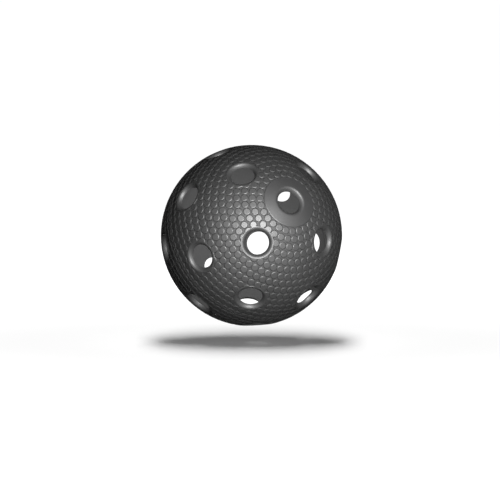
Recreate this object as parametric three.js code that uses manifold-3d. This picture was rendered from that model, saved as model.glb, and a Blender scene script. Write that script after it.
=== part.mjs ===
// Floorball ball: two moulded half shells with round holes, joined by a butt weld at the equator.
// Millimetres, +Z up, origin at the ball's centre, the viewer on the -Y side.

import * as THREE from 'three';
import { mergeVertices } from 'three/addons/utils/BufferGeometryUtils.js';
import Module from 'manifold-3d';

const wasm = await Module();
wasm.setup();

// The wall of the ball
const BALL_DIAMETER = 72;
const WALL_THICKNESS = 1.8;

// Each half has a hole at its pole and two rings of holes, each ring at its angle from the pole
const HOLE_DIAMETER = 9.3;
const RIM_ROUNDING = 1.1;
const CROWN_RING_ANGLE = 36;
const CROWN_RING_HOLES = 4;
const SEAM_RING_ANGLE = 72;
const SEAM_RING_HOLES = 8;
const SEAM_RING_START = 22.5;

// The weld: the halves stand a hair apart, and the melt stands inside them as a double roll
const SEAM_CLEARANCE = 0.3;
const BEAD_WIDTH = 2.8;
const BEAD_HEIGHT = 1.2;
const BEAD_NOTCH_DEPTH = 0.75;
const BEAD_CLEARANCE = 0.3;

// The halves come from one mould, and the rear one is turned about the poles before welding
const REAR_HALF_TWIST = 22.5;

// How the ball lies: its pole leans towards the viewer, heads to the right, and the ball is spun
const POLE_LEAN = 63;
const POLE_HEADING = 28.8;
const BALL_SPIN = -136.1;

// Fineness of the round surfaces
const ROUND_SEGMENTS = 48;
const OUTSIDE_SEGMENTS = 12;
const INSIDE_SEGMENTS = 9;
const HOLE_SEGMENTS = 20;
const RIM_SEGMENTS = 3;
const ROLL_SEGMENTS = 4;

const outerRadius = BALL_DIAMETER / 2;
const innerRadius = outerRadius - WALL_THICKNESS;
const holeRadius = HOLE_DIAMETER / 2;
const radians = THREE.MathUtils.degToRad;

// A closed body of revolution about +Z, from (radius, height) points that run from its foot to its
// top. Corners are joined where the last sector meets the first, and slivers on the axis are dropped.
function revolve(points, segments) {
  const profile = points.map(([radius, height]) => new THREE.Vector2(radius, height));
  const lathe = new THREE.LatheGeometry(profile, segments);
  lathe.deleteAttribute('normal');
  lathe.deleteAttribute('uv');
  const joined = mergeVertices(lathe, 1e-4);
  const corners = joined.index.array;
  const triangles = [];
  for (let i = 0; i < corners.length; i += 3) {
    const [a, b, c] = corners.slice(i, i + 3);
    if (a !== b && b !== c && c !== a) triangles.push(a, b, c);
  }
  joined.setIndex(triangles);
  return joined.rotateX(Math.PI / 2);
}

function toSolid(geometry) {
  const vertProperties = new Float32Array(geometry.attributes.position.array);
  const triVerts = new Uint32Array(geometry.index.array);
  return new wasm.Manifold(new wasm.Mesh({ numProp: 3, vertProperties, triVerts }));
}

function toGeometry(solid) {
  const mesh = solid.getMesh();
  const geometry = new THREE.BufferGeometry();
  geometry.setAttribute('position', new THREE.BufferAttribute(mesh.vertProperties, 3));
  geometry.setIndex(new THREE.BufferAttribute(mesh.triVerts, 1));
  geometry.computeVertexNormals();
  return geometry;
}

// Points on an arc about the ball's centre, from one angle off the pole to another
function arcAboutCentre(radius, fromAngle, toAngle, steps) {
  return Array.from({ length: steps + 1 }, (_, i) => {
    const angle = fromAngle + (toAngle - fromAngle) * (i / steps);
    return [radius * Math.sin(angle), radius * Math.cos(angle)];
  });
}

// The closed dome before its holes: half a hollow ball with a flat welding face
function blankHalf() {
  const face = SEAM_CLEARANCE / 2;
  const inner = arcAboutCentre(innerRadius, 0, Math.acos(face / innerRadius), INSIDE_SEGMENTS);
  const outer = arcAboutCentre(outerRadius, Math.acos(face / outerRadius), 0, OUTSIDE_SEGMENTS);
  return revolve([...inner, ...outer], ROUND_SEGMENTS);
}

// What one hole takes away, along +Z: a straight bore that flares through the rounded rim
function holeCutter() {
  const rimRadius = holeRadius + RIM_ROUNDING;
  const rimHeight = Math.sqrt((outerRadius - RIM_ROUNDING) ** 2 - rimRadius ** 2);
  const rimLean = Math.atan2(rimRadius, rimHeight);
  const sweep = Math.PI / 2 + rimLean;
  const rim = Array.from({ length: RIM_SEGMENTS + 1 }, (_, i) => {
    const angle = Math.PI - sweep * (i / RIM_SEGMENTS);
    return [rimRadius + RIM_ROUNDING * Math.cos(angle), rimHeight + RIM_ROUNDING * Math.sin(angle)];
  });
  const beyond = outerRadius + WALL_THICKNESS;
  const mouth = [beyond * Math.sin(rimLean), beyond * Math.cos(rimLean)];
  const foot = innerRadius - WALL_THICKNESS;
  return revolve([[0, foot], [holeRadius, foot], ...rim, mouth, [0, mouth[1]]], HOLE_SEGMENTS);
}

// The holes of one half as [angle from the pole, angle about it]
function holePlaces() {
  const places = [[0, 0]];
  for (let i = 0; i < CROWN_RING_HOLES; i++) {
    places.push([CROWN_RING_ANGLE, (360 * i) / CROWN_RING_HOLES]);
  }
  for (let i = 0; i < SEAM_RING_HOLES; i++) {
    places.push([SEAM_RING_ANGLE, SEAM_RING_START + (360 * i) / SEAM_RING_HOLES]);
  }
  return places;
}

function halfShell() {
  const cutter = holeCutter();
  let shell = toSolid(blankHalf());
  for (const [fromPole, around] of holePlaces()) {
    const placed = cutter.clone().rotateY(radians(fromPole)).rotateZ(radians(around));
    shell = shell.subtract(toSolid(placed));
  }
  return toGeometry(shell);
}

// One roll of re-set melt on each side of the seam, with a notch between them
function weldBead() {
  const seat = innerRadius - BEAD_CLEARANCE;
  const rollWidth = BEAD_WIDTH / 2;
  const footHeight = BEAD_HEIGHT - BEAD_NOTCH_DEPTH;
  const crest = (height, lift) => [Math.sqrt(seat ** 2 - height ** 2) - footHeight - lift, height];
  const roll = (centre) => Array.from({ length: ROLL_SEGMENTS + 1 }, (_, i) => {
    const angle = Math.PI * (i / ROLL_SEGMENTS);
    const height = centre + (rollWidth / 2) * Math.cos(angle);
    return crest(height, BEAD_NOTCH_DEPTH * Math.sin(angle));
  });
  const edge = Math.sqrt(seat ** 2 - rollWidth ** 2);
  const upper = roll(rollWidth / 2);
  const lower = roll(-rollWidth / 2);
  const outside = [[edge, -rollWidth], [seat, 0], [edge, rollWidth]];
  const section = [...outside, ...upper, ...lower.slice(1), outside[0]];
  return revolve(section, ROUND_SEGMENTS);
}

function addPiece(parent, name, geometry, colour, roughness) {
  const material = new THREE.MeshStandardMaterial({ color: colour, roughness, metalness: 0 });
  const piece = new THREE.Mesh(geometry, material);
  piece.name = name;
  parent.add(piece);
  return piece;
}

const half = halfShell();
const ball = new THREE.Group();
addPiece(ball, 'front_half_shell', half, 0x4c4c4c, 0.5);
const rear = addPiece(ball, 'rear_half_shell', half.clone(), 0x484848, 0.5);
rear.rotateZ(-radians(REAR_HALF_TWIST));
rear.rotateX(Math.PI);
addPiece(ball, 'weld_bead', toGeometry(toSolid(weldBead())), 0x565656, 0.4);

ball.rotateZ(radians(POLE_HEADING));
ball.rotateX(radians(POLE_LEAN));
ball.rotateZ(radians(BALL_SPIN));

const group = new THREE.Group();
group.add(ball);

export default group;
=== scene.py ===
# Floorball ball: two moulded half shells, butt-welded at the equator, dressed round their frame
import logging
import math
from contextlib import contextmanager
from dataclasses import dataclass
from enum import Enum
from itertools import pairwise
from typing import Any, Callable, Iterator

import bmesh
import bpy
from mathutils import Matrix, Vector


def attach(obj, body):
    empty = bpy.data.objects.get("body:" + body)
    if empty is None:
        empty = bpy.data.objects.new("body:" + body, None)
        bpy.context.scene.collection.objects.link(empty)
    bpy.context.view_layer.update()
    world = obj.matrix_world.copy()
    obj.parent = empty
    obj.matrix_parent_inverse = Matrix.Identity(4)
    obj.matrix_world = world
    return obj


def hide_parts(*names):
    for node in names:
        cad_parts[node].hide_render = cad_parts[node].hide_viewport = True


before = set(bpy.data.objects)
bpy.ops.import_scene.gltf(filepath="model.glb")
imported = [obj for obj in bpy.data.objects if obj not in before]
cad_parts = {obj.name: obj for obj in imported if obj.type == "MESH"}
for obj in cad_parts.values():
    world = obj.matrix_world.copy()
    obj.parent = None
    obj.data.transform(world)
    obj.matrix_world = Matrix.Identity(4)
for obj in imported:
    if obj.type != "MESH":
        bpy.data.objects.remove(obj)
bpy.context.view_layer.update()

MM = 0.001
# How near a corner stands to a level to count as being on it
ON_LEVEL = 1e-6
# Soft polyethylene's refractive index
POLYETHYLENE_IOR = 1.51
POLE = Vector((0, 0, 1))
log = logging.getLogger("floorball_ball")


# Working with Blender's tools


def only(piece: bpy.types.Object) -> None:
    """Makes one object the active one and the only one that is selected.

    Args:
        piece: the object.
    """
    bpy.ops.object.select_all(action="DESELECT")
    piece.select_set(True)
    bpy.context.view_layer.objects.active = piece


@contextmanager
def editing(piece: bpy.types.Object) -> Iterator[None]:
    """Opens a piece in edit mode with all of its corners selected, and closes it again.

    Args:
        piece: the mesh object to work on.
    """
    only(piece)
    bpy.ops.object.mode_set(mode="EDIT")
    bpy.ops.mesh.select_mode(type="VERT")
    bpy.ops.mesh.select_all(action="SELECT")
    yield
    bpy.ops.object.mode_set(mode="OBJECT")


def pick(piece: bpy.types.Object, wanted: Callable[[Vector], bool]) -> None:
    """Selects, in edit mode, the corners that stand where they are wanted.

    Args:
        piece: the mesh object that is open in edit mode.
        wanted: says of a corner's place whether it is selected.
    """
    bpy.ops.mesh.select_all(action="DESELECT")
    mesh = bmesh.from_edit_mesh(piece.data)
    for corner in mesh.verts:
        if wanted(corner.co):
            corner.select_set(True)
    mesh.select_flush(True)
    bmesh.update_edit_mesh(piece.data)


def finish_modifier(piece: bpy.types.Object, kind: str, **settings: Any) -> None:
    """Adds a modifier to a piece and applies it.

    Args:
        piece: the mesh object to work on.
        kind: the modifier's type.
        settings: what is set on the modifier before it is applied.
    """
    only(piece)
    bpy.ops.object.modifier_add(type=kind)
    modifier = piece.modifiers[-1]
    for name, value in settings.items():
        setattr(modifier, name, value)
    bpy.ops.object.modifier_apply(modifier=modifier.name)
    if piece.modifiers:
        raise RuntimeError(f"{kind} failed on {piece.name}")


def turned_body(name: str, rings: list[tuple[float, float]], corners: int) -> bpy.types.Object:
    """Draws a closed round body upwards from a disc, one extrusion to each ring.

    Args:
        name: the object's name.
        rings: radius and height of each ring, from the foot to the top.
        corners: how many corners each ring has.

    Returns:
        The body, standing on +Z.
    """
    bpy.ops.object.select_all(action="DESELECT")
    bpy.ops.mesh.primitive_circle_add(
        vertices=corners, radius=rings[0][0], fill_type="NGON", location=(0, 0, rings[0][1])
    )
    body = bpy.context.object
    body.name = name
    bpy.ops.object.transform_apply()
    with editing(body):
        for (radius, height), (next_radius, next_height) in pairwise(rings):
            bpy.ops.mesh.extrude_region_move(
                TRANSFORM_OT_translate={"value": (0, 0, next_height - height)}
            )
            share = next_radius / radius
            bpy.ops.transform.resize(value=(share, share, 1), center_override=(0, 0, next_height))
        bpy.ops.mesh.select_all(action="SELECT")
        bpy.ops.mesh.normals_make_consistent(inside=False)
    return body


def copies(pattern: bpy.types.Object, places: list[Matrix], name: str) -> bpy.types.Object:
    """Sets a copy of a pattern at each place, joins them and removes the pattern.

    Args:
        pattern: the mesh object that is repeated.
        places: where each copy goes.
        name: the joined object's name.

    Returns:
        One object that holds all the copies.
    """
    bpy.ops.object.select_all(action="DESELECT")
    for place in places:
        copy = pattern.copy()
        copy.data = pattern.data.copy()
        copy.data.transform(place)
        bpy.context.collection.objects.link(copy)
        copy.select_set(True)
        bpy.context.view_layer.objects.active = copy
    bpy.ops.object.join()
    joined = bpy.context.object
    joined.name = name
    bpy.data.objects.remove(pattern)
    return joined


class Use(Enum):
    """What a tool is used for."""

    JOIN = "UNION"
    CUT = "DIFFERENCE"


def combine(piece: bpy.types.Object, tool: bpy.types.Object, use: Use) -> None:
    """Joins a tool to a piece, or cuts it away from it, and removes the tool.

    Args:
        piece: the mesh object that is changed.
        tool: the mesh object that is joined or cut away.
        use: whether it is joined or cut away.
    """
    finish_modifier(piece, "BOOLEAN", operation=use.value, object=tool, solver="MANIFOLD")
    bpy.data.objects.remove(tool)


# How the ball lies


@dataclass(frozen=True)
class Lie:
    """How the ball is turned: its pole leans to the viewer and to the right, and it is spun."""

    lean: float = 63.0
    heading: float = 28.8
    spin: float = -136.1
    twist: float = 22.5

    def turn(self) -> Matrix:
        """The turn from the ball's own frame, with the front pole on +Z, to the row frame.

        Returns:
            The turn.
        """
        spin = Matrix.Rotation(math.radians(self.spin), 4, "Z")
        lean = Matrix.Rotation(math.radians(self.lean), 4, "X")
        return Matrix.Rotation(math.radians(self.heading), 4, "Z") @ lean @ spin

    def flip(self) -> Matrix:
        """The turn that makes a rear half of a front half, inside the ball's own frame."""
        over = Matrix.Rotation(math.pi, 4, "X")
        return Matrix.Rotation(math.radians(-self.twist), 4, "Z") @ over


def on_wall(from_pole: float, around: float) -> Matrix:
    """The turn from the pole to a place on the wall, both angles in degrees."""
    lean = Matrix.Rotation(math.radians(from_pole), 4, "Y")
    return Matrix.Rotation(math.radians(around), 4, "Z") @ lean


# Finishes


def linear(colour: str) -> tuple[float, float, float, float]:
    """Turns an sRGB hex colour into Blender's linear one.

    Args:
        colour: six hex digits.

    Returns:
        Linear red, green, blue and an alpha of 1.
    """
    parts = [int(colour[i : i + 2], 16) / 255 for i in (0, 2, 4)]
    red, green, blue = (c / 12.92 if c <= 0.04045 else ((c + 0.055) / 1.055) ** 2.4 for c in parts)
    return red, green, blue, 1.0


def add_node(
    tree: bpy.types.NodeTree,
    kind: str,
    settings: dict[str, Any] | None = None,
    inputs: dict[str | int, Any] | None = None,
) -> bpy.types.Node:
    """Adds a node with its settings, and sets or links its inputs.

    Args:
        tree: the node tree.
        kind: the node's type.
        settings: properties of the node.
        inputs: for each input, a value or the socket that feeds it.

    Returns:
        The node.
    """
    node = tree.nodes.new(kind)
    for name, value in (settings or {}).items():
        setattr(node, name, value)
    for name, value in (inputs or {}).items():
        if isinstance(value, bpy.types.NodeSocket):
            tree.links.new(value, node.inputs[name])
        else:
            node.inputs[name].default_value = value
    return node


def new_material(name: str) -> tuple[bpy.types.Material, bpy.types.NodeTree]:
    """Starts a material with nothing but the shader in it.

    Args:
        name: the material's name.

    Returns:
        The material and its node tree.
    """
    material = bpy.data.materials.new(name)
    material.use_nodes = True
    return material, material.node_tree


def add_shader(
    tree: bpy.types.NodeTree,
    colour: bpy.types.NodeSocket,
    roughness: bpy.types.NodeSocket,
    normal: bpy.types.NodeSocket,
) -> None:
    """Feeds a finish's colour, roughness and relief to the shader that is already in the tree.

    Args:
        tree: the material's node tree.
        colour: the socket with the base colour.
        roughness: the socket with the roughness.
        normal: the socket with the bumped normal.
    """
    shader = tree.nodes["Principled BSDF"]
    tree.links.new(colour, shader.inputs["Base Color"])
    tree.links.new(roughness, shader.inputs["Roughness"])
    tree.links.new(normal, shader.inputs["Normal"])
    shader.inputs["IOR"].default_value = POLYETHYLENE_IOR


@dataclass(frozen=True)
class MouldedPolyethylene:
    """Soft polyethylene as it leaves a spark-eroded mould: an even, semi-matt grain."""

    name: str = "moulded_polyethylene_semi_matt"
    # The groove and foot colours are painted shade, darker than the studs' tops
    crest: str = "575757"
    painted_groove_shade: str = "464646"
    foot: str = "1e1e1e"
    scuff: str = "5c5c5c"
    groove_roughness: float = 0.6
    flank_roughness: float = 0.4
    crest_roughness: float = 0.35
    uneven: float = 0.1
    low: float = 35.77 * MM
    high: float = 35.89 * MM
    cloud_size: float = 7 * MM
    grain_size: float = 0.5 * MM
    grain_depth: float = 0.03 * MM

    def make(self) -> bpy.types.Material:
        """Builds the material.

        Returns:
            The material.
        """
        material, tree = new_material(self.name)
        place = add_node(tree, "ShaderNodeTexCoord").outputs["Object"]
        reach = add_node(tree, "ShaderNodeVectorMath", {"operation": "LENGTH"}, {0: place})
        # From 0 in the grooves between the studs to 1 on their tops
        height = add_node(
            tree,
            "ShaderNodeMapRange",
            {},
            {"Value": reach.outputs["Value"], "From Min": self.low, "From Max": self.high},
        )
        # The melt cools unevenly, which leaves cloudy patches
        clouds = add_node(
            tree,
            "ShaderNodeTexNoise",
            {},
            {"Vector": place, "Scale": 1 / self.cloud_size, "Detail": 3.0, "Roughness": 0.55},
        )
        # The real mould grain is about 0.1 mm wide, too fine to show, so it is drawn coarser
        grain = add_node(
            tree,
            "ShaderNodeTexNoise",
            {},
            {"Vector": place, "Scale": 1 / self.grain_size, "Detail": 2.0, "Roughness": 0.6},
        )
        # Painted shade: darker grey in the grooves between the studs, near black low on their
        # flanks, and the plain wall tone on their tops
        body = add_node(tree, "ShaderNodeValToRGB", {}, {"Fac": height.outputs["Result"]})
        stops = body.color_ramp.elements
        stops[0].position, stops[0].color = 0.0, linear(self.painted_groove_shade)
        stops[1].position, stops[1].color = 0.8, linear(self.crest)
        # Painted shade: a near-black band low on the studs' flanks, at their feet
        foot = stops.new(0.3)
        foot.color = linear(self.foot)
        # Play leaves pale scuffs on the tops only, a few millimetres long
        rubbed = add_node(
            tree,
            "ShaderNodeMapRange",
            {},
            {"Value": clouds.outputs["Fac"], "From Min": 0.5, "From Max": 0.8, "To Max": 0.35},
        )
        on_top = add_node(
            tree,
            "ShaderNodeMath",
            {"operation": "MULTIPLY"},
            {0: rubbed.outputs["Result"], 1: height.outputs["Result"]},
        )
        colour = add_node(
            tree,
            "ShaderNodeMix",
            {"data_type": "RGBA"},
            {"Factor": on_top.outputs["Value"], 6: body.outputs["Color"], 7: linear(self.scuff)},
        )
        # The grooves are eroded coarser in the mould and stay matt. Sliding over the floor rubs
        # the flanks of the studs shiny, and their tops a little shinier still
        up_flank = add_node(
            tree,
            "ShaderNodeMapRange",
            {},
            {
                "Value": height.outputs["Result"],
                "From Min": 0.0,
                "From Max": 0.35,
                "To Min": self.groove_roughness,
                "To Max": self.flank_roughness,
            },
        )
        onto_top = add_node(
            tree,
            "ShaderNodeMapRange",
            {},
            {
                "Value": height.outputs["Result"],
                "From Min": 0.7,
                "From Max": 1.0,
                "To Min": 0.0,
                "To Max": self.crest_roughness - self.flank_roughness,
            },
        )
        uneven = add_node(
            tree,
            "ShaderNodeMath",
            {"operation": "MULTIPLY_ADD"},
            {0: clouds.outputs["Fac"], 1: self.uneven, 2: up_flank.outputs["Result"]},
        )
        gloss = add_node(
            tree,
            "ShaderNodeMath",
            {"operation": "ADD"},
            {0: uneven.outputs["Value"], 1: onto_top.outputs["Result"]},
        )
        bump = add_node(
            tree,
            "ShaderNodeBump",
            {},
            {"Height": grain.outputs["Fac"], "Strength": 0.3, "Distance": self.grain_depth},
        )
        add_shader(tree, colour.outputs[2], gloss.outputs["Value"], bump.outputs["Normal"])
        return material


@dataclass(frozen=True)
class PolishedRim:
    """The same polyethylene against the mould's polished core pins: smooth collars and bores."""

    name: str = "moulded_polyethylene_polished"
    shade: str = "525252"
    light: str = "5a5a5a"
    bore_roughness: float = 0.43
    collar_roughness: float = 0.36
    uneven: float = 0.08
    flare_end: float = 1.2
    collar_start: float = 1.9
    flow_size: float = 3 * MM
    flow_depth: float = 0.05 * MM

    def make(self) -> bpy.types.Material:
        """Builds the material.

        Returns:
            The material.
        """
        material, tree = new_material(self.name)
        place = add_node(tree, "ShaderNodeTexCoord").outputs["Object"]
        # Faint sink and flow marks
        flow = add_node(
            tree,
            "ShaderNodeTexNoise",
            {},
            {"Vector": place, "Scale": 1 / self.flow_size, "Detail": 3.0, "Roughness": 0.5},
        )
        # Sliding over the floor rubs the flat collar a little shinier than the flare and the
        # bore. The attribute holds the distance from the bore in millimetres
        from_bore = add_node(tree, "ShaderNodeAttribute", {"attribute_name": "from_bore"})
        gloss = add_node(
            tree,
            "ShaderNodeMapRange",
            {"interpolation_type": "SMOOTHSTEP"},
            {
                "Value": from_bore.outputs["Fac"],
                "From Min": self.flare_end,
                "From Max": self.collar_start,
                "To Min": self.bore_roughness,
                "To Max": self.collar_roughness,
            },
        )
        uneven = add_node(
            tree,
            "ShaderNodeMath",
            {"operation": "MULTIPLY_ADD"},
            {0: flow.outputs["Fac"], 1: self.uneven, 2: gloss.outputs["Result"]},
        )
        tint = add_node(
            tree,
            "ShaderNodeMix",
            {"data_type": "RGBA"},
            {"Factor": flow.outputs["Fac"], 6: linear(self.shade), 7: linear(self.light)},
        )
        bump = add_node(
            tree,
            "ShaderNodeBump",
            {},
            {"Height": flow.outputs["Fac"], "Strength": 0.05, "Distance": self.flow_depth},
        )
        add_shader(tree, tint.outputs[2], uneven.outputs["Value"], bump.outputs["Normal"])
        return material


@dataclass(frozen=True)
class SmoothPolyethylene:
    """The same polyethylene off a smooth steel core, or re-set from the melt: clean and even. Its
    default tone is for the inside of the shells, painted lighter than the outer wall as painted
    light.
    """

    name: str = "moulded_polyethylene_core_side"
    # Painted light: the inside is lighter than the outer wall
    shade: str = "6a6a6a"
    light: str = "727272"
    roughness: float = 0.85
    flow_size: float = 9 * MM
    flow_depth: float = 0.05 * MM

    def make(self) -> bpy.types.Material:
        """Builds the material.

        Returns:
            The material.
        """
        material, tree = new_material(self.name)
        place = add_node(tree, "ShaderNodeTexCoord").outputs["Object"]
        # The melt leaves soft cloudy flow marks, a little duller where it cooled last
        flow = add_node(
            tree,
            "ShaderNodeTexNoise",
            {},
            {"Vector": place, "Scale": 1 / self.flow_size, "Detail": 3.0, "Roughness": 0.5},
        )
        gloss = add_node(
            tree,
            "ShaderNodeMapRange",
            {},
            {
                "Value": flow.outputs["Fac"],
                "From Min": 0.3,
                "From Max": 0.7,
                "To Min": self.roughness - 0.04,
                "To Max": self.roughness + 0.06,
            },
        )
        tint = add_node(
            tree,
            "ShaderNodeMix",
            {"data_type": "RGBA"},
            {"Factor": flow.outputs["Fac"], 6: linear(self.shade), 7: linear(self.light)},
        )
        bump = add_node(
            tree,
            "ShaderNodeBump",
            {},
            {"Height": flow.outputs["Fac"], "Strength": 0.2, "Distance": self.flow_depth},
        )
        add_shader(tree, tint.outputs[2], gloss.outputs["Result"], bump.outputs["Normal"])
        return material


# The half shells


class Half(Enum):
    """Which of the two welded mouldings."""

    FRONT = "front_half_shell"
    REAR = "rear_half_shell"


class Surface(Enum):
    """The parts of a moulding that have a finish of their own, by material slot."""

    WALL = 0
    RIM = 1
    CORE_SIDE = 2


@dataclass
class HalfShell:
    """One moulding: a domed wall with 13 rimmed holes and rows of low round studs."""

    # The wall, and how high the studs and the smooth pads stand on it
    crest_radius: float = 35.9 * MM
    pad_radius: float = 35.905 * MM
    base_radius: float = 35.76 * MM
    inner_radius: float = 34.08 * MM
    facets: int = 96

    # The holes: a pole hole and two rings, each at its angle from the pole in degrees
    crown_angle: float = 36.0
    crown_holes: int = 4
    seam_angle: float = 72.0
    seam_holes: int = 8
    seam_start: float = 22.5
    hole_radius: float = 4.65 * MM
    hole_corners: int = 48
    flare_width: float = 0.88 * MM
    flare_depth: float = 1.55 * MM
    throat_rounding: float = 0.4 * MM
    lip_rounding: float = 1.05 * MM
    lip_margin: float = 0.1 * MM
    mouth_share: float = 1.05
    curve_steps: int = 6

    # The smooth collars round the holes and the larger pad round the pole hole
    collar_radius: float = 6.6 * MM
    collar_facets: int = 48
    pole_pad_angle: float = 17.2
    pole_pad_facets: int = 72
    pad_rings: int = 96
    pad_depth: float = 0.6 * MM
    pad_edge: float = 0.17 * MM

    # The studs, and their rows about the pole in degrees
    stud_clearance: float = 5.8 * MM
    stud_radius: float = 1.3 * MM
    stud_depth: float = 0.35 * MM
    stud_slope: float = 42.0
    stud_corners: int = 14
    stud_edge: float = 0.2 * MM
    first_row: float = 20.0
    row_step: float = 5.0
    stud_pitch: float = 2.9 * MM
    seam_studs: int = 76
    seam_stud_start: float = -11.25

    # The trimmed weld
    seam_gap: float = 0.02 * MM
    seam_bevel: float = 0.05 * MM
    seam_slope: float = 0.25
    seam_corners: int = 128

    # How far a tool reaches past what it cuts, and how thin a sliver is that it leaves
    overshoot: float = 2 * MM
    sliver: float = 0.005 * MM

    # How squarely a face looks at the ball's centre if it is of the core side
    core_side_limit: float = -0.9
    smooth_angle: float = 34.0
    normal_weight: int = 80

    def hole_places(self) -> list[Matrix]:
        """Places the 13 holes.

        Returns:
            The turn from the pole to each hole.
        """
        crown = [
            on_wall(self.crown_angle, i * 360 / self.crown_holes) for i in range(self.crown_holes)
        ]
        seam = [
            on_wall(self.seam_angle, self.seam_start + i * 360 / self.seam_holes)
            for i in range(self.seam_holes)
        ]
        return [on_wall(0, 0), *crown, *seam]

    def hole_axes(self) -> list[Vector]:
        """The direction of each hole from the ball's centre."""
        return [place @ POLE for place in self.hole_places()]

    def stud_places(self) -> list[Matrix]:
        """Places the studs in even rows about the pole, with none on a collar.

        Returns:
            The turn from the pole to each stud.
        """
        rows = []
        angle = self.first_row
        while angle < 90:
            half_way = math.pi * self.crest_radius * math.sin(math.radians(angle))
            count = 2 * round(half_way / self.stud_pitch)
            rows.append((angle, min(count, self.seam_studs + 2), 0.0))
            angle += self.row_step
        rows.append((90.0, self.seam_studs, self.seam_stud_start))
        holes = self.hole_axes()
        clear = math.cos(math.asin(self.stud_clearance / self.crest_radius))
        places = []
        for angle, count, start in rows:
            for i in range(count):
                place = on_wall(angle, start + i * 360 / count)
                if all(hole.dot(place @ POLE) < clear for hole in holes):
                    places.append(place)
        return places

    def blank(self) -> bpy.types.Object:
        """Models the bare dome, a little past the seam.

        Returns:
            The dome as a closed wall.
        """
        bpy.ops.object.select_all(action="DESELECT")
        bpy.ops.mesh.primitive_uv_sphere_add(
            segments=self.facets, ring_count=self.facets // 2, radius=self.base_radius
        )
        dome = bpy.context.object
        with editing(dome):
            bpy.ops.mesh.bisect(
                plane_co=(0, 0, -self.overshoot), plane_no=(0, 0, 1), clear_inner=True
            )
        wall = self.base_radius - self.inner_radius
        finish_modifier(dome, "SOLIDIFY", thickness=wall, offset=-1, use_even_offset=True)
        return dome

    def pad(self, angle: float, facets: int) -> bpy.types.Object:
        """Models a raised smooth pad about the pole, with a sloping flank and a rounded edge.

        Args:
            angle: from the pole to the pad's edge, in degrees.
            facets: how many facets it has around.

        Returns:
            The pad as a closed body.
        """
        ring = self.pad_radius * math.sin(math.radians(angle))
        edge = self.pad_radius * math.cos(math.radians(angle))
        flank = self.pad_depth / math.tan(math.radians(angle + self.stud_slope))
        foot = 1 + flank / ring
        bpy.ops.object.select_all(action="DESELECT")
        bpy.ops.mesh.primitive_uv_sphere_add(
            segments=facets, ring_count=self.pad_rings, radius=self.pad_radius
        )
        pad = bpy.context.object
        with editing(pad):
            bpy.ops.mesh.bisect(
                plane_co=(0, 0, edge), plane_no=(0, 0, 1), clear_inner=True, threshold=ON_LEVEL
            )
            pick(pad, lambda at: at.z < edge + ON_LEVEL)
            bpy.ops.mesh.extrude_edges_move()
            bpy.ops.transform.resize(
                value=(foot, foot, 1 - self.pad_depth / edge), center_override=(0, 0, 0)
            )
            bpy.ops.mesh.edge_face_add()
            pick(pad, lambda at: abs(at.z - edge) < ON_LEVEL)
            bpy.ops.mesh.bevel(offset=self.pad_edge, segments=3, profile=0.5, affect="EDGES")
            bpy.ops.mesh.select_all(action="SELECT")
            bpy.ops.mesh.normals_make_consistent(inside=False)
        return pad

    def stud(self) -> bpy.types.Object:
        """Models one low stud at the pole, with a flat top, a rounded edge and a sloping flank.

        Returns:
            The stud as a closed body.
        """
        foot = self.stud_radius + self.stud_depth / math.tan(math.radians(self.stud_slope))
        middle = self.crest_radius - self.stud_depth / 2
        bpy.ops.object.select_all(action="DESELECT")
        bpy.ops.mesh.primitive_cylinder_add(
            vertices=self.stud_corners, radius=foot, depth=self.stud_depth, location=(0, 0, middle)
        )
        stud = bpy.context.object
        bpy.ops.object.transform_apply()
        share = self.stud_radius / foot
        with editing(stud):
            pick(stud, lambda at: at.z > middle)
            bpy.ops.transform.resize(
                value=(share, share, 1), center_override=(0, 0, self.crest_radius)
            )
            bpy.ops.mesh.select_mode(type="FACE")
            bpy.ops.mesh.region_to_loop()
            bpy.ops.mesh.bevel(offset=self.stud_edge, segments=2, profile=0.5, affect="EDGES")
        return stud

    def round_off(self, start: Vector, corner: Vector, end: Vector, reach: float) -> list[Vector]:
        """Draws a curve in place of a corner.

        Args:
            start: the point before the corner.
            corner: the corner.
            end: the point after it.
            reach: how far from the corner the curve starts and ends.

        Returns:
            The curve's points.
        """
        first = corner + (start - corner).normalized() * reach
        last = corner + (end - corner).normalized() * reach
        shares = [i / self.curve_steps for i in range(self.curve_steps + 1)]
        return [first * (1 - t) ** 2 + corner * 2 * t * (1 - t) + last * t**2 for t in shares]

    def hole_tool(self) -> bpy.types.Object:
        """Models what a hole takes away at the pole: a bore that flares out, with soft corners.

        Returns:
            The tool as a closed body.
        """
        lip_radius = self.hole_radius + self.flare_width
        lip_height = math.sqrt(self.pad_radius**2 - lip_radius**2)
        foot = Vector((self.hole_radius, self.inner_radius - self.overshoot))
        throat = Vector((self.hole_radius, lip_height - self.flare_depth))
        lip = Vector((lip_radius, lip_height))
        along_wall = Vector((lip_height, -lip_radius)).normalized()
        outside = lip + along_wall * (self.lip_rounding + self.lip_margin)
        beyond = outside * self.mouth_share
        throat_curve = self.round_off(foot, throat, lip, self.throat_rounding)
        lip_curve = self.round_off(throat, lip, outside, self.lip_rounding)
        rings = [foot, *throat_curve, *lip_curve, outside, beyond]
        return turned_body("hole_tool", [tuple(ring) for ring in rings], self.hole_corners)

    def seam_tool(self) -> bpy.types.Object:
        """Models what the trimmed seam takes away: all below it, and a hair of the outer edge.

        Returns:
            The tool as a closed body.
        """
        level = self.seam_gap / 2
        inside = self.base_radius - self.seam_bevel
        beyond = self.crest_radius + self.overshoot
        rise = (beyond - inside) * self.seam_slope
        rings = [(beyond, -3 * self.overshoot), (beyond, level + rise), (inside, level)]
        return turned_body("seam_tool", rings, self.seam_corners)

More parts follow.
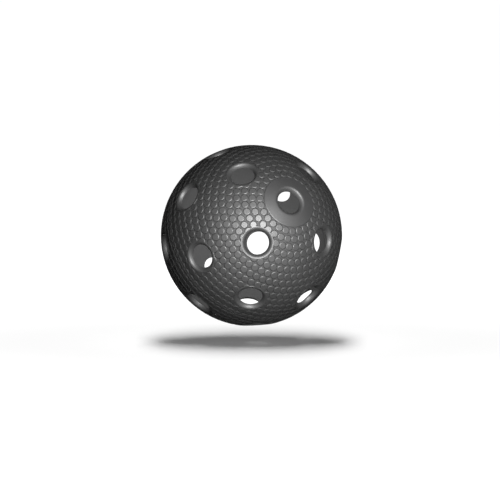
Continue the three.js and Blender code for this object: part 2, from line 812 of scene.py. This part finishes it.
    def build(self) -> bpy.types.Object:
        """Models the front half in the ball's own frame, with its pole on +Z.

        Returns:
            The moulding as one closed mesh.
        """
        shell = self.blank()
        collar_angle = math.degrees(math.asin(self.collar_radius / self.pad_radius))
        collar = self.pad(collar_angle, self.collar_facets)
        combine(shell, copies(collar, self.hole_places()[1:], "collars"), Use.JOIN)
        combine(shell, self.pad(self.pole_pad_angle, self.pole_pad_facets), Use.JOIN)
        combine(shell, copies(self.stud(), self.stud_places(), "studs"), Use.JOIN)
        combine(shell, copies(self.hole_tool(), self.hole_places(), "hole_tools"), Use.CUT)
        combine(shell, self.seam_tool(), Use.CUT)
        # The cuts leave slivers, which are closed up
        with editing(shell):
            bpy.ops.mesh.remove_doubles(threshold=self.sliver)
            bpy.ops.mesh.dissolve_degenerate(threshold=self.sliver)
        return shell

    def from_axis(self, point: Vector, axes: list[Vector]) -> float:
        """Measures how far a point is from the axis of the hole that is nearest to it.

        Args:
            point: the point, on the moulding.
            axes: the directions of the holes.

        Returns:
            The distance.
        """
        axis = max(axes, key=point.dot)
        return (point - axis * point.dot(axis)).length

    def surface(self, face: bpy.types.MeshPolygon, axes: list[Vector]) -> Surface:
        """Tells which finish a face of the moulding has.

        Args:
            face: the face.
            axes: the directions of the holes.

        Returns:
            The surface that it is part of.
        """
        if face.normal.dot(face.center.normalized()) < self.core_side_limit:
            return Surface.CORE_SIDE
        if self.from_axis(face.center, axes) < self.collar_radius:
            return Surface.RIM
        return Surface.WALL

    def dress(self, shell: bpy.types.Object, finishes: dict[Surface, bpy.types.Material]) -> None:
        """Gives the wall its grain, and the rims and bores their polish.

        Args:
            shell: the moulding, in the ball's own frame.
            finishes: each surface's material.
        """
        shell.data.materials.clear()
        for surface in Surface:
            shell.data.materials.append(finishes[surface])
        axes = self.hole_axes()
        for face in shell.data.polygons:
            face.material_index = self.surface(face, axes).value
        from_bore = shell.data.attributes.new("from_bore", "FLOAT", "POINT")
        for corner, distance in zip(shell.data.vertices, from_bore.data):
            distance.value = max(0.0, self.from_axis(corner.co, axes) - self.hole_radius) / MM
        only(shell)
        bpy.ops.object.shade_smooth_by_angle(angle=math.radians(self.smooth_angle))
        finish_modifier(shell, "WEIGHTED_NORMAL", keep_sharp=True, weight=self.normal_weight)


# The weld bead


@dataclass
class WeldBead:
    """The melt that the hot-plate weld pressed inwards: two rolls with a notch between them."""

    seat_radius: float = 34.1 * MM
    roll_centre: float = 33.62 * MM
    roll_depth: float = 0.82 * MM
    roll_width: float = 0.74 * MM
    roll_offset: float = 0.88
    roll_segments: int = 160
    roll_facets: int = 14
    smooth_angle: float = 50.0

    # How the melt swells around the ball: each wave's share of the depth, count and start
    waves: tuple[tuple[float, int, float], ...] = ((0.05, 9, 1.0), (0.03, 23, 0.0), (0.02, 41, 2.0))

    def build(self) -> bpy.types.Object:
        """Models the bead in the ball's own frame.

        Returns:
            The bead as one closed mesh.
        """
        bead = self.roll(1)
        combine(bead, self.roll(-1), Use.JOIN)
        for corner in bead.data.vertices:
            across = Vector((corner.co.x, corner.co.y, 0))
            around = math.atan2(corner.co.y, corner.co.x)
            swell = sum(share * math.sin(count * around + at) for share, count, at in self.waves)
            inward = max(0.0, (self.seat_radius - across.length) / MM)
            corner.co -= across.normalized() * swell * inward * MM
            # What would stand in the wall is pressed flat against it
            if across.length > self.seat_radius:
                corner.co -= across.normalized() * (across.length - self.seat_radius)
        return bead

    def roll(self, side: int) -> bpy.types.Object:
        """Models one of the two rolls.

        Args:
            side: 1 for the side of the front pole, -1 for that of the rear one.

        Returns:
            The roll as a closed body.
        """
        centre = (0, 0, side * self.roll_width * self.roll_offset)
        bpy.ops.object.select_all(action="DESELECT")
        bpy.ops.mesh.primitive_torus_add(
            major_radius=self.roll_centre,
            minor_radius=self.roll_depth,
            major_segments=self.roll_segments,
            minor_segments=self.roll_facets,
            location=centre,
        )
        roll = bpy.context.object
        bpy.ops.object.transform_apply()
        with editing(roll):
            bpy.ops.transform.resize(
                value=(1, 1, self.roll_width / self.roll_depth), center_override=centre
            )
        return roll

    def dress(self, bead: bpy.types.Object, melt: bpy.types.Material) -> None:
        """Gives the bead its finish.

        Args:
            bead: the bead, in the ball's own frame.
            melt: its material.
        """
        bead.data.materials.clear()
        bead.data.materials.append(melt)
        only(bead)
        bpy.ops.object.shade_smooth_by_angle(angle=math.radians(self.smooth_angle))


# The ball


@dataclass
class Ball:
    """Both mouldings and the bead between them, turned as the ball lies in the photograph."""

    lie: Lie
    shell: HalfShell
    bead: WeldBead

    def place(self, piece: bpy.types.Object, turn: Matrix, name: str, slot: str) -> None:
        """Turns a piece into the row frame, hangs it on the root body and hides the CAD node that
        it stands for.

        Args:
            piece: the finished piece, in the ball's own frame.
            turn: the turn into the row frame.
            name: the CAD node that it stands for, and its name.
            slot: the record's material slot; not used.
        """
        piece.data.transform(turn)
        piece.name = name + "_dressed"
        piece.data.name = piece.name
        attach(piece, "root")
        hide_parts(name)
        log.info("%s: %d faces", piece.name, len(piece.data.polygons))

    def build(self) -> list[bpy.types.Object]:
        """Builds, dresses and places every piece.

        Returns:
            The pieces.
        """
        finishes = {
            Surface.WALL: MouldedPolyethylene().make(),
            Surface.RIM: PolishedRim().make(),
            Surface.CORE_SIDE: SmoothPolyethylene().make(),
        }
        front = self.shell.build()
        self.shell.dress(front, finishes)
        rear = front.copy()
        rear.data = front.data.copy()
        bpy.context.collection.objects.link(rear)
        turn = self.lie.turn()
        self.place(front, turn, Half.FRONT.value, "shell_plastic")
        self.place(rear, turn @ self.lie.flip(), Half.REAR.value, "shell_plastic")
        # The melt sets against the air, which leaves it darker and shinier than a mould does
        melt = SmoothPolyethylene(
            name="polyethylene_re_set_from_melt",
            shade="565656",
            light="606060",
            roughness=0.36,
            flow_size=2 * MM,
        )
        bead = self.bead.build()
        self.bead.dress(bead, melt.make())
        self.place(bead, turn, "weld_bead", "weld_plastic")
        return [front, rear, bead]


# The studio


@dataclass(frozen=True)
class FarLamp:
    """A far lamp for the ball, and whether it lights it, shines in it and casts its shadow.

    Its place is in degrees right of and above the front. Its strength is in watts per square
    metre, where pi lights white to white, and its width in degrees as seen from the ball.
    """

    name: str
    right: float
    up: float
    strength: float
    width: float
    lights: bool = True
    shines: bool = True
    shades: bool = True


# The cards show only as sheen, and the fills only light. The fills and the back card shine
# through the wall, as soft light from all round would, and through the floor
FAR_LAMPS = (
    FarLamp("side_fill", right=19, up=8, strength=0.4, width=1, shines=False, shades=False),
    FarLamp("bright_card", right=7, up=11, strength=10.0, width=38, lights=False),
    FarLamp("wide_card", right=12, up=5, strength=1.6, width=100, lights=False),
    FarLamp("back_fill", right=180, up=-5, strength=2.4, width=8, shines=False, shades=False),
    FarLamp("back_card", right=180, up=-5, strength=0.8, width=16, lights=False, shades=False),
)


@dataclass
class Studio:
    """A pale floor, soft lamps near the camera and a long lens, as the photograph was lit."""

    # The camera, whose lens is in millimetres for a sensor of this width
    elevation: float = 5.0
    distance: float = 4.5
    lens: float = 818.0
    sensor_width: float = 36.0
    nearest: float = 0.1
    farthest: float = 100.0
    offset_right: float = -0.588 * MM
    offset_up: float = -5.72 * MM

    # The floor, which turns from its shadow's level to white between two distances
    floor_level: float = -42.2 * MM
    floor_size: float = 30.0
    shadow_level: float = 0.135
    shadow_reach: float = 60 * MM
    white_from: float = 300 * MM
    room_level: float = 0.02

    # The black tent
    tent_radius: float = 2.0
    tent_opening: float = 62.0

    # The strip over the floor
    strip_height: float = 300 * MM
    strip_width: float = 70 * MM
    strip_length: float = 400 * MM
    strip_power: float = 1.4

    # The small lamp near the ball, whose light falls off towards the ball's edges, in degrees
    # right of and above the front
    fill_right: float = 12.0
    fill_up: float = 8.0
    fill_distance: float = 200 * MM
    fill_radius: float = 4 * MM
    fill_power: float = 0.95

    def toward(self, right: float, up: float) -> Vector:
        """The direction from the ball to a place, in degrees right of and above the front."""
        side, rise = math.radians(right), math.radians(up)
        return Vector(
            (math.sin(side) * math.cos(rise), -math.cos(side) * math.cos(rise), math.sin(rise))
        )

    def backdrop(self, tree: bpy.types.NodeTree) -> bpy.types.NodeSocket:
        """Finds the rays that see the backdrop as paper white: camera, glossy, transmission.

        Args:
            tree: the material's or the world's node tree.

        Returns:
            A socket that is 1 for those rays and 0 for the rest.
        """
        path = add_node(tree, "ShaderNodeLightPath")
        shown = add_node(
            tree,
            "ShaderNodeMath",
            {"operation": "MAXIMUM"},
            {0: path.outputs["Is Camera Ray"], 1: path.outputs["Is Glossy Ray"]},
        )
        return add_node(
            tree,
            "ShaderNodeMath",
            {"operation": "MAXIMUM"},
            {0: shown.outputs[0], 1: path.outputs["Is Transmission Ray"]},
        ).outputs[0]

    def build_world(self) -> None:
        """Makes the room white to the camera, glossy and transmission rays, and dim to the rest."""
        world = bpy.data.worlds.new("white_studio")
        bpy.context.scene.world = world
        world.use_nodes = True
        tree = world.node_tree
        level = add_node(
            tree,
            "ShaderNodeMapRange",
            {},
            {"Value": self.backdrop(tree), "To Min": self.room_level, "To Max": 1.0},
        )
        tree.links.new(level.outputs["Result"], tree.nodes["Background"].inputs["Strength"])
        tree.nodes["Background"].inputs["Color"].default_value = (1, 1, 1, 1)

    def build_floor(self) -> bpy.types.Object:
        """Makes a pale sweep that keeps the ball's soft shadow and runs out to paper white.

        Returns:
            The floor.
        """
        bpy.ops.mesh.primitive_plane_add(size=self.floor_size, location=(0, 0, self.floor_level))
        floor = bpy.context.object
        floor.name = "floor"
        floor.visible_diffuse = False
        floor.visible_glossy = False
        paper, tree = new_material("pale_paper")
        shader = tree.nodes["Principled BSDF"]
        shader.inputs["Base Color"].default_value = linear("f2f2f2")
        shader.inputs["Roughness"].default_value = 1.0
        shader.inputs["Specular IOR Level"].default_value = 0.0
        shader.inputs["Emission Color"].default_value = (1, 1, 1, 1)
        place = add_node(tree, "ShaderNodeTexCoord").outputs["Object"]
        away = add_node(tree, "ShaderNodeVectorMath", {"operation": "LENGTH"}, {0: place})
        whiteness = add_node(
            tree,
            "ShaderNodeMapRange",
            {"interpolation_type": "SMOOTHSTEP"},
            {
                "Value": away.outputs["Value"],
                "From Min": self.shadow_reach,
                "From Max": self.white_from,
                "To Min": self.shadow_level,
                "To Max": 1.0,
            },
        )
        level = add_node(
            tree,
            "ShaderNodeMath",
            {"operation": "MULTIPLY"},
            {0: self.backdrop(tree), 1: whiteness.outputs["Result"]},
        )
        tree.links.new(level.outputs[0], shader.inputs["Emission Strength"])
        floor.data.materials.append(paper)
        return floor

    def light_only(self, lamp: bpy.types.Object, lit: list[bpy.types.Object]) -> None:
        """Lets a lamp light only these objects, with everything still in its shadow.

        Args:
            lamp: the lamp.
            lit: what it lights.
        """
        group = bpy.data.collections.new(lamp.name + "_lights")
        for thing in lit:
            group.objects.link(thing)
        lamp.light_linking.receiver_collection = group

    def near_fill(self) -> bpy.types.Object:
        """Hangs the small lamp near the ball, which lights it without a glint or a shadow.

        Returns:
            The lamp.
        """
        bpy.ops.object.light_add(
            type="POINT",
            radius=self.fill_radius,
            location=self.toward(self.fill_right, self.fill_up) * self.fill_distance,
        )
        fill = bpy.context.object
        fill.name = "camera_fill"
        fill.data.energy = self.fill_power
        fill.data.use_shadow = False
        fill.visible_camera = False
        fill.visible_glossy = False
        return fill

    def far_lamp(self, plan: FarLamp) -> bpy.types.Object:
        """Hangs a far lamp.

        Args:
            plan: where it stands and what it does.

        Returns:
            The lamp.
        """
        toward = self.toward(plan.right, plan.up)
        bpy.ops.object.light_add(type="SUN", location=toward * 2)
        lamp = bpy.context.object
        lamp.name = plan.name
        lamp.rotation_euler = toward.to_track_quat("Z", "Y").to_euler()
        lamp.data.energy = plan.strength
        lamp.data.angle = math.radians(plan.width)
        lamp.data.use_shadow = plan.shades
        lamp.visible_diffuse = plan.lights
        lamp.visible_glossy = plan.shines
        return lamp

    def floor_strip(self) -> bpy.types.Object:
        """Hangs the strip over the ball that casts its soft shadow.

        Returns:
            The lamp.
        """
        bpy.ops.object.light_add(type="AREA", location=(0, 0, self.strip_height))
        strip = bpy.context.object
        strip.name = "floor_strip"
        strip.data.shape = "RECTANGLE"
        strip.data.size = self.strip_width
        strip.data.size_y = self.strip_length
        strip.data.energy = self.strip_power
        return strip

    def build_lamps(self, floor: bpy.types.Object, pieces: list[bpy.types.Object]) -> None:
        """Hangs the ball's lamps, near the camera and behind, and the strip over the floor.

        Args:
            floor: the sweep that the strip lights.
            pieces: the ball's pieces, which the other lamps light.
        """
        for lamp in (self.near_fill(), *(self.far_lamp(plan) for plan in FAR_LAMPS)):
            self.light_only(lamp, pieces)
        self.light_only(self.floor_strip(), [floor])

    def build_tent(self) -> None:
        """Makes a black tent, open at the front, that only the ball's reflections show."""
        bpy.ops.object.select_all(action="DESELECT")
        bpy.ops.mesh.primitive_uv_sphere_add(segments=48, ring_count=24, radius=self.tent_radius)
        tent = bpy.context.object
        tent.name = "black_tent"
        front = self.toward(0, self.elevation)
        with editing(tent):
            bpy.ops.mesh.bisect(
                plane_co=front * self.tent_radius * math.cos(math.radians(self.tent_opening)),
                plane_no=front,
                clear_outer=True,
            )
        for ray in ("camera", "diffuse", "transmission", "volume_scatter", "shadow"):
            setattr(tent, "visible_" + ray, False)
        velvet, tree = new_material("black_velvet")
        shader = tree.nodes["Principled BSDF"]
        shader.inputs["Base Color"].default_value = linear("080808")
        shader.inputs["Roughness"].default_value = 1.0
        shader.inputs["Specular IOR Level"].default_value = 0.0
        tent.data.materials.append(velvet)

    def build_camera(self) -> None:
        """Sets a long lens square to the ball's front, at the photograph's angle."""
        rise = math.radians(self.elevation)
        toward = self.toward(0, self.elevation)
        up = Vector((0, math.sin(rise), math.cos(rise)))
        aim = Vector((self.offset_right, 0, 0)) + up * self.offset_up
        data = bpy.data.cameras.new("camera")
        camera = bpy.data.objects.new("camera", data)
        bpy.context.scene.collection.objects.link(camera)
        camera.location = aim + toward * self.distance
        camera.rotation_euler = toward.to_track_quat("Z", "Y").to_euler()
        data.lens = self.lens
        data.sensor_width = self.sensor_width
        data.clip_start = self.nearest
        data.clip_end = self.farthest
        bpy.context.scene.camera = camera

    def build(self, pieces: list[bpy.types.Object]) -> None:
        """Sets up the world, the floor, the tent, the lamps, the camera and the view.

        Args:
            pieces: the ball's pieces.
        """
        self.build_world()
        self.build_lamps(self.build_floor(), pieces)
        self.build_tent()
        self.build_camera()
        bpy.context.scene.view_settings.view_transform = "Standard"


def main() -> None:
    """Builds the ball and the studio."""
    logging.basicConfig(level=logging.INFO, format="%(name)s: %(message)s")
    pieces = Ball(Lie(), HalfShell(), WeldBead()).build()
    Studio().build(pieces)


if __name__ == "__main__":
    main()
